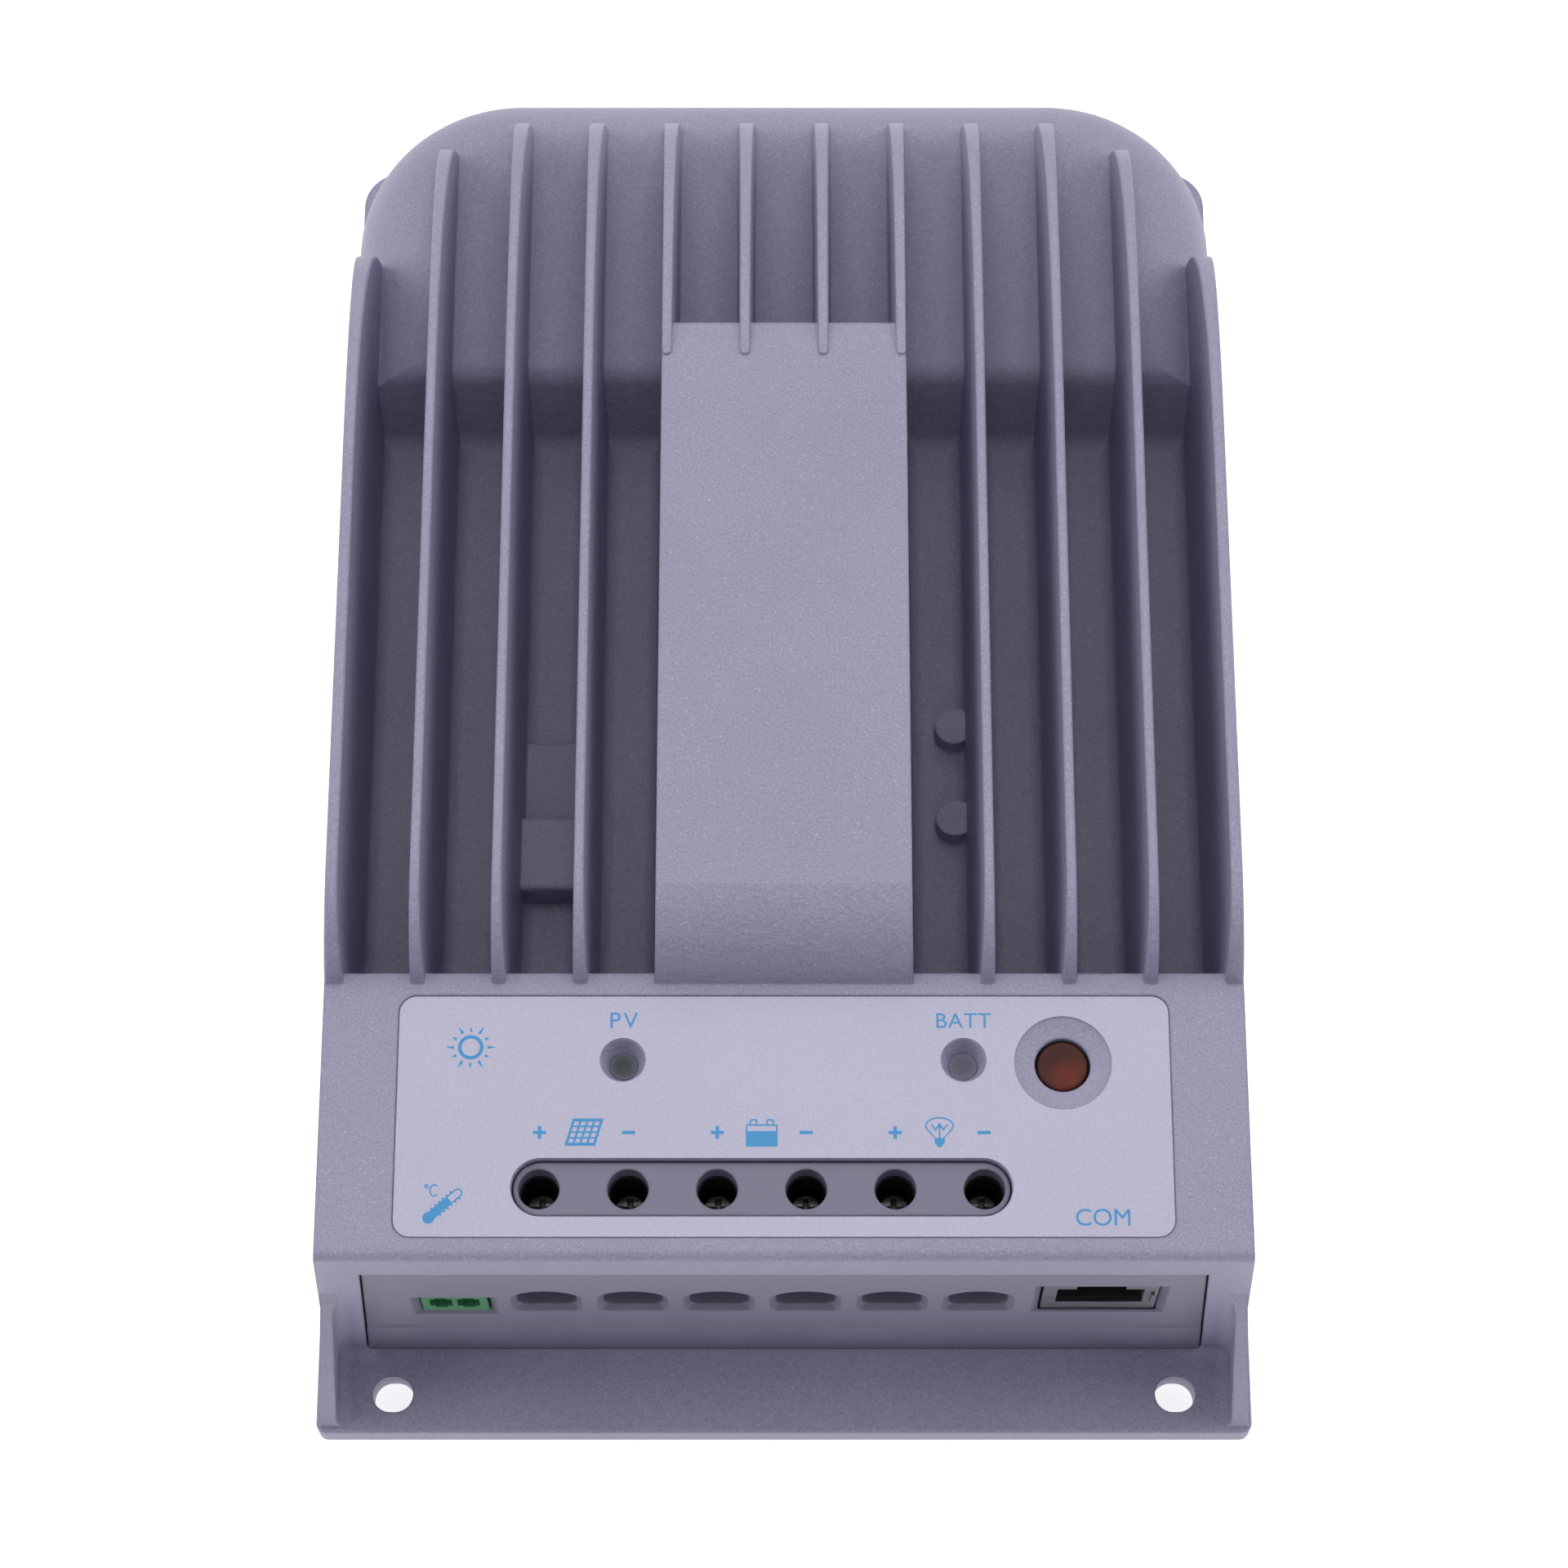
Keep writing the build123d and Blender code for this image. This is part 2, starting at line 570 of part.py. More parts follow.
def terminal_screw(x):
    """Captive clamp screw: slotted head in the bore, shank down to the bus strip."""
    head = rod(x, SCREW_Y, HEAD_Z, HEAD_R)
    head = fillet(head.edges().group_by(Axis.Z)[-1], 0.35)
    shank = rod(x, SCREW_Y, (BAR_Z[1] + GAP, HEAD_Z[0] + 0.1), THREAD_R)
    slot = about(x, SCREW_Y, HEAD_Z[1] - 1.0, 6.0, 0.8, 2.0)
    cross_z = HEAD_Z[1] - 1.4
    cross = about(x, SCREW_Y, cross_z, 0.7, 3.0, 2.0) + about(x, SCREW_Y, cross_z, 3.0, 0.7, 2.0)
    return head + shank - slot - cross


def clamp_cage(x):
    """Rising cage: a rectangular loop threaded on the screw."""
    half = CHAMBER_HALF - GAP
    low, high = CAGE_Z
    cage = block((x - CAGE_HALF, x + CAGE_HALF), (SCREW_Y - half, SCREW_Y + half), CAGE_Z)
    cage = fillet(cage.edges().filter_by(Axis.Y), 0.6)
    inner = CAGE_HALF - 0.8
    window = block((x - inner, x + inner), (SCREW_Y - 5, SCREW_Y + 5), (low + CAGE_FLOOR, high - CAGE_ROOF))
    cage -= window
    cage -= rod(x, SCREW_Y, (high - 2, high + 1), THREAD_R + 0.05)
    return cage


def bus_strips():
    """Fixed strips through the cages, bent down to the board behind the block."""
    strips = Part()
    behind = BLOCK_Y[1] + 1.5
    for x in TERMINAL_X:
        sides = (x - BAR_HALF, x + BAR_HALF)
        bar = block(sides, (SCREW_Y - CHAMBER_HALF + 0.2, behind), BAR_Z)
        leg = block(sides, (BLOCK_Y[1] + GAP, behind), (PCB_TOP, BAR_Z[1]))
        strips += bar + leg
    return strips


# ---------------------------------------------------------------- connectors
def rj45_profile(grow):
    """Plug opening with the latch notch above it, drawn in X and Z."""
    low, high = RJ_OPEN_Z
    main = Pos(RJ_X, (low + high) / 2) * Rectangle(RJ_OPEN_W + 2 * grow, high - low + 2 * grow)
    notch = Pos(RJ_X, high + 0.7) * Rectangle(6.6 + 2 * grow, 1.6 + 2 * grow)
    return main + notch


def rj45_shell():
    half = RJ_W / 2
    box = block((RJ_X - half, RJ_X + half), RJ_Y, (PCB_TOP, RJ_TOP))
    wall = 0.4
    inside_y = (RJ_Y[0] + wall, RJ_Y[1] - wall)
    box -= block((RJ_X - half + wall, RJ_X + half - wall), inside_y, (PCB_TOP - 1, RJ_TOP - wall))
    box -= front_prism(rj45_profile(0.1), (RJ_Y[0] - 1, RJ_Y[0] + 1))
    tab = block((RJ_X + half - 0.9, RJ_X + half - 0.5), (RJ_Y[0] - 0.4, RJ_Y[0] + 0.2), (29.5, 33.5))
    return box + tab


def rj45_insert():
    half = RJ_W / 2 - 0.5
    body = block((RJ_X - half, RJ_X + half), (RJ_Y[0] + 0.5, RJ_Y[1] - 0.5), (PCB_TOP, RJ_TOP - 0.5))
    body -= front_prism(rj45_profile(0.0), (RJ_Y[0] - 1, RJ_Y[0] + 12.0))
    return body


def rj45_contacts():
    wires = Part()
    for i in range(8):
        x = RJ_X + (i - 3.5) * 1.02
        near = RJ_Y[0] + 3.0
        far = RJ_Y[0] + 11.0
        slope = [(near, 28.5), (far, 29.5), (far, 29.9), (near, 28.9)]
        wires += polygon_prism(slope, (x - 0.2, x + 0.2))
    return wires


def sensor_header():
    """Two-way plug socket with a keyed pocket for each pin."""
    half = SENSOR_W / 2
    body = block((SENSOR_X - half, SENSOR_X + half), SENSOR_Y, (PCB_TOP, SENSOR_TOP))
    for x in (SENSOR_X - SENSOR_PITCH / 2, SENSOR_X + SENSOR_PITCH / 2):
        body -= block((x - 1.55, x + 1.55), (SENSOR_Y[0] - 1, SENSOR_Y[1] - 1.4), (26.6, 30.0))
        body -= block((x - 0.8, x + 0.8), (SENSOR_Y[0] - 1, SENSOR_Y[1] - 1.4), (25.9, 30.5))
    return body


def sensor_pins():
    pins = Part()
    for x in (SENSOR_X - SENSOR_PITCH / 2, SENSOR_X + SENSOR_PITCH / 2):
        pins += block((x - 0.5, x + 0.5), (SENSOR_Y[0] + 1.5, SENSOR_Y[1] - 1.4), (27.8, 28.8))
    return pins


# ---------------------------------------------------------------- front panel
def front_label():
    sheet = about(0, LABEL_Y, DECK_Z - LABEL_T, LABEL_L, LABEL_W, LABEL_T)
    sheet = fillet(sheet.edges().filter_by(Axis.Z), 2.3)
    z = (DECK_Z - 2, DECK_Z + 1)
    sheet -= stadium(TERMINAL_MID, SCREW_Y, BAND_L + 0.3, BAND_W + 0.3, z)
    for x in LED_X.values():
        sheet -= rod(x, LED_Y, z, WELL_R + 0.1)
    sheet -= rod(BUTTON_X, BUTTON_Y, z, DISC_R)
    return sheet


def button_cap():
    """Push button: domed rim on top, collar under the deck, socket for the plunger."""
    cap = rod(BUTTON_X, BUTTON_Y, (47.4, BUTTON_TOP), BUTTON_R)
    cap = fillet(cap.edges().group_by(Axis.Z)[-1], 0.5)
    dish = Pos(BUTTON_X, at(BUTTON_Y), BUTTON_TOP + 11.7) * Sphere(12.0)
    cap -= dish
    return cap + rod(BUTTON_X, BUTTON_Y, (49.5, 50.7), COLLAR_R)


def switch_plunger():
    return rod(BUTTON_X, BUTTON_Y, (45.5, 47.4), 1.7)


def switch_body():
    body = about(BUTTON_X, BUTTON_Y, UI_TOP, 6.2, 6.2, 3.5)
    body = chamfer(body.edges().group_by(Axis.Z)[-1], 0.3)
    return body - rod(BUTTON_X, BUTTON_Y, (44.6, 48), 2.0)


def light_pipe(x):
    """Clear rod from the board's light source to the bottom of the well."""
    pipe = rod(x, LED_Y, (UI_TOP + 1.6, DECK_Z - WELL_DEPTH), LENS_R)
    return pipe + rod(x, LED_Y, (46.8, 48.3), 3.0)


def light_sources():
    return Part() + [about(x, LED_Y, UI_TOP, 3.2, 1.6, 1.2) for x in LED_X.values()]


# ---------------------------------------------------------------- boards
def main_pcb():
    board = block((-PCB_HALF, PCB_HALF), (PCB_START, PCB_END), (PCB_BOTTOM, PCB_TOP))
    board = fillet(board.edges().filter_by(Axis.Z).group_by(Axis.Y)[-1], 14.0)
    for side in (-1, 1):
        for y in BOSS_Y:
            board -= rod(side * BOSS_X, y, (20, 26), M3_HOLE_R)
    return board


def ui_board():
    board = block((-30.0, 46.0), (33.5, 47.5), (UI_TOP - UI_T, UI_TOP))
    board = fillet(board.edges().filter_by(Axis.Z), 1.0)
    for x, y in UI_SCREWS:
        board -= rod(x, y, (40, 45), M3_HOLE_R)
    return board


def link_header():
    """Moulded base of the pin row between the two boards."""
    base = about(LINK_X, LINK_Y, PCB_TOP, 15.3, 2.5, 2.5)
    for x in LINK_PIN_X:
        base -= about(x, LINK_Y, PCB_TOP - 1, 0.74, 0.74, 5)
    return base


def link_pins():
    height = UI_TOP - UI_T - PCB_TOP
    return Part() + [about(x, LINK_Y, PCB_TOP, 0.64, 0.64, height) for x in LINK_PIN_X]


# ---------------------------------------------------------------- power parts
def on_side(shape):
    """Turn a ring from lying flat to standing across the unit."""
    return Rot(0, 90, 0) * shape


def inductor_core(y):
    ring = Cylinder(13.6, 11.0) - Cylinder(7.6, 12.0)
    ring = fillet(ring.edges(), 1.0)
    return Pos(0, at(y), PCB_TOP + 17.2) * on_side(ring)


def inductor_winding(y):
    """Copper winding around the core, open over a sixth of the ring."""
    solid = Cylinder(16.6, 17.0) - Cylinder(4.8, 18.0)
    solid = fillet(solid.edges(), 1.5)
    solid -= Cylinder(13.75, 11.3) - Cylinder(7.45, 11.3)
    solid -= Pos(20.0, 0, 0) * Box(40.0, 9.0, 20.0)
    return Pos(0, at(y), PCB_TOP + 17.2) * on_side(solid)


def capacitor(x, y, seat, radius, height, up):
    """Radial electrolytic can with a crimp groove and a scored vent."""
    can = Cylinder(radius, height, align=(Align.CENTER, Align.CENTER, Align.MIN))
    can = fillet(can.edges().group_by(Axis.Z)[-1], 0.8)
    can -= Pos(0, 0, 2.2) * (Cylinder(radius + 1, 0.9) - Cylinder(radius - 0.5, 1.2))
    vent = Pos(0, 0, height) * Box(radius, 0.5, 0.4)
    can -= [vent, Rot(0, 0, 90) * vent]
    return Pos(x, at(y), seat) * (Rot(0, 0, 0) if up else Rot(180, 0, 0)) * can


def transistors(side):
    """Four flat power packages under the channel floor."""
    group = Part()
    for i in range(4):
        y = 70.0 + 19.0 * i
        group += about(side * 30.0, y, PCB_TOP, 10.2, 9.2, 4.4)
        group += about(side * 30.0, y + 5.6, PCB_TOP, 10.2, 2.0, 1.3)
    return group


def thermal_pad(side):
    return about(side * 30.0, 98.5, PCB_TOP + 4.4, 11.5, 70.0, FLOOR_Z - SKIN_T - PCB_TOP - 4.4)


def shunts():
    """Current-sense strips, each a low bridge on the board."""
    group = Part()
    for x in (-14.0, 14.0):
        bridge = about(x, 50.5, PCB_TOP, 12.0, 4.5, 2.6) - about(x, 50.5, PCB_TOP - 1, 7.0, 5.0, 2.8)
        group += bridge
    return group


def controller_ic():
    centre = Pos(20.0, at(90.0), PCB_BOTTOM)
    chip = centre * Pos(0, 0, -0.75) * Box(12.0, 12.0, 1.5)
    for turn in range(4):
        side = centre * Pos(0, 0, -0.45) * Rot(0, 0, 90 * turn)
        for i in range(-5, 6):
            chip += side * Pos(i * 0.9, 6.5, 0) * Box(0.3, 1.4, 0.9)
    return chip


# ---------------------------------------------------------------- assembly
nodes["housing"] = housing()
nodes["back_cover"] = back_cover()
nodes["back_cover_screws"] = Part() + [countersunk_screw(x, y, 10.0) for x, y in COVER_SCREWS]
nodes["terminal_insert"] = terminal_insert()
nodes["front_label"] = front_label()
nodes["button_cap"] = button_cap()
nodes["switch_plunger"] = switch_plunger()
nodes["switch_body"] = switch_body()
for led, x in LED_X.items():
    nodes[f"{led}_light_pipe"] = light_pipe(x)
nodes["indicator_leds"] = light_sources()
nodes["panel_board"] = ui_board()
nodes["panel_board_screws"] = Part() + [pan_screw(x, y, UI_TOP - UI_T, 6.0) for x, y in UI_SCREWS]
nodes["board_link_base"] = link_header()
nodes["board_link_pins"] = link_pins()
nodes["main_board"] = main_pcb()
board_screws = [pan_screw(side * BOSS_X, y, PCB_BOTTOM, 5.5) for side in (-1, 1) for y in BOSS_Y]
nodes["main_board_screws"] = Part() + board_screws
nodes["rj45_shell"] = rj45_shell()
nodes["rj45_insert"] = rj45_insert()
nodes["rj45_contacts"] = rj45_contacts()
nodes["sensor_header"] = sensor_header()
nodes["sensor_pins"] = sensor_pins()
nodes["terminal_block"] = terminal_block()
nodes["bus_strips"] = bus_strips()
for i, x in enumerate(TERMINAL_X, start=1):
    nodes[f"terminal_screw_{i}"] = terminal_screw(x)
    nodes[f"clamp_cage_{i}"] = clamp_cage(x)
for i, y in enumerate((80.0, 118.0), start=1):
    nodes[f"inductor_core_{i}"] = inductor_core(y)
    nodes[f"inductor_winding_{i}"] = inductor_winding(y)
for i, x in enumerate((-34.0, -12.0, 12.0, 34.0), start=1):
    nodes[f"output_capacitor_{i}"] = capacitor(x, 166.0, PCB_TOP, 8.0, 16.0, True)
for i, x in enumerate((-33.0, -11.0, 11.0, 33.0), start=1):
    nodes[f"input_capacitor_{i}"] = capacitor(x, 42.0, PCB_BOTTOM, 8.0, 16.0, False)
for name, side in (("left", -1), ("right", 1)):
    nodes[f"transistors_{name}"] = transistors(side)
    nodes[f"thermal_pad_{name}"] = thermal_pad(side)
nodes["shunt_resistors"] = shunts()
nodes["controller_chip"] = controller_ic()

for name, shape in nodes.items():
    print(name, len(shape.solids()), round(shape.volume))
    export_step(shape, f"parts/{name}.step")
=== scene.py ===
"""Solar charge controller: looks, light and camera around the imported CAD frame.

Metres, in the CAD's own frame: +Z out of the finned front, +Y up the unit, and
the origin at the middle of the mounting plane. Sizes below are millimetres,
turned into metres by MM.
"""
import json
import math

import bpy
import bmesh
from mathutils import Matrix, Vector


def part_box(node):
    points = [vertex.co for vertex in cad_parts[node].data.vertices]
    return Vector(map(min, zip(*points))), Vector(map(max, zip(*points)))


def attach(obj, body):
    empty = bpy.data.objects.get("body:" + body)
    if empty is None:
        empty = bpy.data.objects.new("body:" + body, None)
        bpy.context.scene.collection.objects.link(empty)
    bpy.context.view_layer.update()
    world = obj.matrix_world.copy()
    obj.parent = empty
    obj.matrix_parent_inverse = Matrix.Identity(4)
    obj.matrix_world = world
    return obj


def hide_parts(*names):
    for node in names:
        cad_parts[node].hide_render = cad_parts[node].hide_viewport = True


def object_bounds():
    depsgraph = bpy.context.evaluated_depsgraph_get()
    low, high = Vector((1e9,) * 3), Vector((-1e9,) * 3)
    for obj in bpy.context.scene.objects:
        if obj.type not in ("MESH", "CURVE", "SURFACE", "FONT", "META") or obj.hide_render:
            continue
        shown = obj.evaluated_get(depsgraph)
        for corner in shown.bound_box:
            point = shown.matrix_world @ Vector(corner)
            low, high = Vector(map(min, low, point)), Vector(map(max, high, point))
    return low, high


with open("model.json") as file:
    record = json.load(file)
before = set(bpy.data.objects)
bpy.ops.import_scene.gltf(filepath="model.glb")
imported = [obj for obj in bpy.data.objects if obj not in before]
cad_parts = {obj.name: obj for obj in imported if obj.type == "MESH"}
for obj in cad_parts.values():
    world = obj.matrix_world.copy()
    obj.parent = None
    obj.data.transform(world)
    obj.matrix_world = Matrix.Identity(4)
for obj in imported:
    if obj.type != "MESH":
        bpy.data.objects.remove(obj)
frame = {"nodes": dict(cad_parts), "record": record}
cad_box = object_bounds()

MM = 0.001
TAU = 2 * math.pi


# ---------------------------------------------------------------- node helpers
def srgb(red, green, blue):
    """Linear colour of an 8-bit display colour."""
    def linear(value):
        share = value / 255
        return share / 12.92 if share <= 0.04045 else ((share + 0.055) / 1.055) ** 2.4
    return (linear(red), linear(green), linear(blue), 1.0)


class Shader:
    """A material with a Principled shader, and short ways to add texture to it."""

    def __init__(self, name, colour, roughness, **sockets):
        self.material = bpy.data.materials.new(name)
        self.material.use_nodes = True
        self.tree = self.material.node_tree
        self.surface = self.tree.nodes["Principled BSDF"]
        self.set("Base Color", colour)
        self.set("Roughness", roughness)
        for socket, value in sockets.items():
            self.set(socket.replace("_", " "), value)
        self.coords = self.tree.nodes.new("ShaderNodeTexCoord").outputs["Object"]
        self.material.diffuse_color = colour

    def set(self, socket, value):
        self.surface.inputs[socket].default_value = value

    def link(self, source, target):
        self.tree.links.new(source, target)

    def mapped(self, scale):
        """Coordinates stretched by one factor for each axis."""
        node = self.tree.nodes.new("ShaderNodeMapping")
        node.inputs["Scale"].default_value = scale
        self.link(self.coords, node.inputs["Vector"])
        return node.outputs["Vector"]

    def noise(self, size_mm, detail=3.0, rough=0.55, scale=(1, 1, 1)):
        """Noise whose grains are about size_mm across, and its factor socket."""
        node = self.tree.nodes.new("ShaderNodeTexNoise")
        node.inputs["Scale"].default_value = 1 / (size_mm * MM)
        node.inputs["Detail"].default_value = detail
        node.inputs["Roughness"].default_value = rough
        self.link(self.mapped(scale), node.inputs["Vector"])
        return node.outputs["Fac"]

    def cells(self, size_mm, feature="F1"):
        node = self.tree.nodes.new("ShaderNodeTexVoronoi")
        node.feature = feature
        node.inputs["Scale"].default_value = 1 / (size_mm * MM)
        self.link(self.coords, node.inputs["Vector"])
        return node.outputs["Distance"]

    def distance_from(self, point):
        """Distance of the surface from a point."""
        node = self.tree.nodes.new("ShaderNodeVectorMath")
        node.operation = "DISTANCE"
        node.inputs[1].default_value = point
        self.link(self.coords, node.inputs[0])
        return node.outputs["Value"]

    def ramp(self, factor, stops):
        """Colour ramp through (position, colour) stops."""
        node = self.tree.nodes.new("ShaderNodeValToRGB")
        points = node.color_ramp.elements
        while len(points) < len(stops):
            points.new(0.5)
        for point, (position, colour) in zip(points, stops):
            point.position = position
            point.color = colour
        self.link(factor, node.inputs["Fac"])
        return node.outputs["Color"]

    def spread(self, factor, low, high, start=0.3, end=0.7):
        """Factor stretched from start..end to low..high."""
        node = self.tree.nodes.new("ShaderNodeMapRange")
        limits = (("From Min", start), ("From Max", end), ("To Min", low), ("To Max", high))
        for socket, value in limits:
            node.inputs[socket].default_value = value
        self.link(factor, node.inputs["Value"])
        return node.outputs["Result"]

    def mix(self, factor, first, second, blend="MIX"):
        """Two colours, each a socket or a value, mixed by a socket or a value."""
        node = self.tree.nodes.new("ShaderNodeMix")
        node.data_type = "RGBA"
        node.blend_type = blend
        pairs = ((node.inputs[0], factor), (node.inputs[6], first), (node.inputs[7], second))
        for socket, value in pairs:
            if isinstance(value, bpy.types.NodeSocket):
                self.link(value, socket)
            else:
                socket.default_value = value
        return node.outputs[2]

    def mottle(self, colour, factor, amount):
        """Colour made lighter and darker by a factor of noise."""
        dark = tuple(c * (1 - amount) for c in colour[:3]) + (1.0,)
        light = tuple(min(1.0, c * (1 + amount)) for c in colour[:3]) + (1.0,)
        return self.ramp(factor, [(0.3, dark), (0.7, light)])

    def paint(self, colour_socket):
        self.link(colour_socket, self.surface.inputs["Base Color"])

    def roughen(self, factor, low, high):
        self.link(self.spread(factor, low, high), self.surface.inputs["Roughness"])

    def relief(self, *layers, edge_mm=0.0):
        """Bump from (factor, height in mm) layers, over edges rounded by edge_mm."""
        normal = None
        if edge_mm:
            edge = self.tree.nodes.new("ShaderNodeBevel")
            edge.samples = 4
            edge.inputs["Radius"].default_value = edge_mm * MM
            normal = edge.outputs["Normal"]
        for factor, height in layers:
            node = self.tree.nodes.new("ShaderNodeBump")
            node.inputs["Strength"].default_value = 1.0
            node.inputs["Distance"].default_value = height * MM
            self.link(factor, node.inputs["Height"])
            if normal is not None:
                self.link(normal, node.inputs["Normal"])
            normal = node.outputs["Normal"]
        self.link(normal, self.surface.inputs["Normal"])


# ---------------------------------------------------------------- materials
def powder_coat():
    """Sand-textured lavender-grey coat on the casting."""
    colour = srgb(157, 154, 181)
    shader = Shader("powder_coat", colour, 0.5, Specular_IOR_Level=0.5)
    sand = shader.noise(0.36, 2.0, 0.7)
    peel = shader.noise(1.3, 2.0, 0.6, (0.7, 1, 1))
    painted_sparkle = shader.cells(0.9)
    patches = shader.noise(24.0, 3.0)
    tint = shader.mottle(colour, sand, 0.15)
    shade = shader.ramp(patches, [(0.3, (0.93, 0.93, 0.94, 1)), (0.7, (1, 1, 1, 1))])
    coat = shader.mix(1.0, tint, shade, "MULTIPLY")
    # Small light specks painted into the colour stand in for the coat's sparkle: painted glints.
    shader.paint(shader.mix(shader.spread(painted_sparkle, 0.55, 0.0, 0.05, 0.16), coat, srgb(214, 214, 226)))
    shader.roughen(sand, 0.34, 0.6)
    shader.relief((peel, 0.18), (sand, 0.11), edge_mm=0.6)
    return shader.material


def sheet_paint():
    """Thin satin paint on the pressed back cover."""
    colour = srgb(150, 149, 164)
    shader = Shader("sheet_paint", colour, 0.45, Specular_IOR_Level=0.5)
    peel = shader.noise(0.9, 2.0)
    rolled = shader.noise(3.0, 3.0, 0.6, (1, 0.05, 1))
    shader.paint(shader.mottle(colour, rolled, 0.05))
    shader.roughen(rolled, 0.4, 0.52)
    shader.relief((peel, 0.02), edge_mm=0.25)
    return shader.material


def moulding(name, colour, roughness=0.42, grain_mm=0.25, height=0.012, edge_mm=0.3, specular=0.5):
    """Moulded plastic: fine spark-eroded texture, with slow flow variation."""
    shader = Shader(name, colour, roughness, Specular_IOR_Level=specular)
    flow = shader.noise(9.0, 3.0, 0.5, (1, 1, 0.4))
    grain = shader.noise(grain_mm, 2.0)
    shader.paint(shader.mottle(colour, flow, 0.05))
    shader.roughen(flow, roughness - 0.05, roughness + 0.07)
    shader.relief((grain, height), edge_mm=edge_mm)
    return shader.material


def label_film():
    """Satin silver-lavender film with a very fine brushed sparkle."""
    colour = srgb(191, 188, 212)
    shader = Shader("label_film", colour, 0.5, Specular_IOR_Level=0.35)
    grain = shader.noise(0.34, 2.0, 0.7)
    cloud = shader.noise(30.0, 2.0)
    tint = shader.mottle(colour, grain, 0.08)
    shade = shader.ramp(cloud, [(0.3, (0.97, 0.97, 0.98, 1)), (0.7, (1, 1, 1, 1))])
    shader.paint(shader.mix(1.0, tint, shade, "MULTIPLY"))
    shader.roughen(grain, 0.42, 0.6)
    shader.relief((grain, 0.012))
    return shader.material


def print_ink():
    """Screen-printed blue ink, a little uneven over the film's grain."""
    colour = srgb(70, 148, 206)
    shader = Shader("print_ink", colour, 0.5, Specular_IOR_Level=0.4)
    grain = shader.noise(0.22, 2.0, 0.6)
    shader.paint(shader.mottle(colour, grain, 0.07))
    shader.roughen(grain, 0.42, 0.58)
    return shader.material


def plated(name, colour, roughness=0.28, scratch_mm=0.5, anisotropy=0.3, edge_mm=0.12):
    """Plated metal with fine drawn or turned scratches."""
    shader = Shader(name, colour, roughness, Metallic=1.0, Anisotropic=anisotropy)
    scratches = shader.noise(scratch_mm, 3.0, 0.6, (0.12, 1, 1))
    haze = shader.noise(2.2, 2.0)
    shader.paint(shader.mottle(colour, haze, 0.07))
    shader.roughen(scratches, roughness - 0.08, roughness + 0.12)
    shader.relief((scratches, 0.006), edge_mm=edge_mm)
    return shader.material


def translucent_button(centre):
    """Dark red cap, with a painted glow towards its lower right that stands in for light passing through
    it.
    """
    dark = srgb(74, 40, 36)
    painted_glow = srgb(112, 46, 34)
    shader = Shader("button_red", dark, 0.55, Specular_IOR_Level=0.22)
    # Painted glow: the colour turns lighter red towards the cap's lower right, standing in for light let
    # through the cap.
    distance = shader.distance_from((centre.x + 0.9 * MM, centre.y - 1.7 * MM, centre.z))
    painted_glow_share = shader.spread(distance, 1.0, 0.0, 0.6 * MM, 3.4 * MM)
    cloud = shader.noise(1.4, 3.0)
    painted_glow_colour = shader.mix(painted_glow_share, dark, painted_glow)
    shader.paint(shader.mix(shader.spread(cloud, 0.0, 0.4), painted_glow_colour, srgb(50, 28, 27)))
    shader.relief((shader.noise(0.3, 2.0), 0.006), edge_mm=0.3)
    return shader.material


def light_lens(name, core, rim, centre):
    """Frosted rod end, darker in its middle."""
    shader = Shader(name, rim, 0.5, Specular_IOR_Level=0.3)
    away = shader.spread(shader.distance_from(centre), 0.0, 1.0, 0.9 * MM, 2.0 * MM)
    frost = shader.noise(0.2, 2.0)
    tint = shader.mix(away, core, rim)
    shader.paint(shader.mix(shader.spread(frost, 0.0, 0.2), tint, rim))
    shader.relief((frost, 0.01))
    return shader.material


def circuit_board():
    """Green solder mask with copper traces that show through as lighter lines."""
    mask = srgb(22, 92, 58)
    trace = srgb(40, 128, 78)
    shader = Shader("circuit_board", mask, 0.3, Coat_Weight=0.4, Coat_Roughness=0.15)
    grid = shader.tree.nodes.new("ShaderNodeTexBrick")
    grid.inputs["Scale"].default_value = 180.0
    grid.inputs["Mortar Size"].default_value = 0.035
    grid.inputs["Color1"].default_value = mask
    grid.inputs["Color2"].default_value = mask
    grid.inputs["Mortar"].default_value = trace
    shader.link(shader.coords, grid.inputs["Vector"])
    weave = shader.noise(0.8, 2.0)
    shader.paint(shader.mix(shader.spread(weave, 0.0, 0.15), grid.outputs["Color"], trace))
    shader.relief((weave, 0.01), edge_mm=0.1)
    return shader.material


def ferrite():
    """Sintered grey-black ring with coarse pressed grain."""
    colour = srgb(62, 60, 60)
    shader = Shader("ferrite", colour, 0.62)
    grain = shader.cells(0.6)
    shader.paint(shader.mottle(colour, shader.noise(1.2, 3.0), 0.15))
    shader.relief((grain, 0.03), edge_mm=0.3)
    return shader.material


def enamelled_copper():
    """Glossy varnished winding wire."""
    colour = srgb(196, 112, 58)
    shader = Shader("enamelled_copper", colour, 0.24, Metallic=0.9, Coat_Weight=0.6, Coat_Roughness=0.08)
    streak = shader.noise(1.0, 3.0)
    shader.paint(shader.mottle(colour, streak, 0.14))
    shader.roughen(streak, 0.18, 0.34)
    shader.relief((streak, 0.01))
    return shader.material


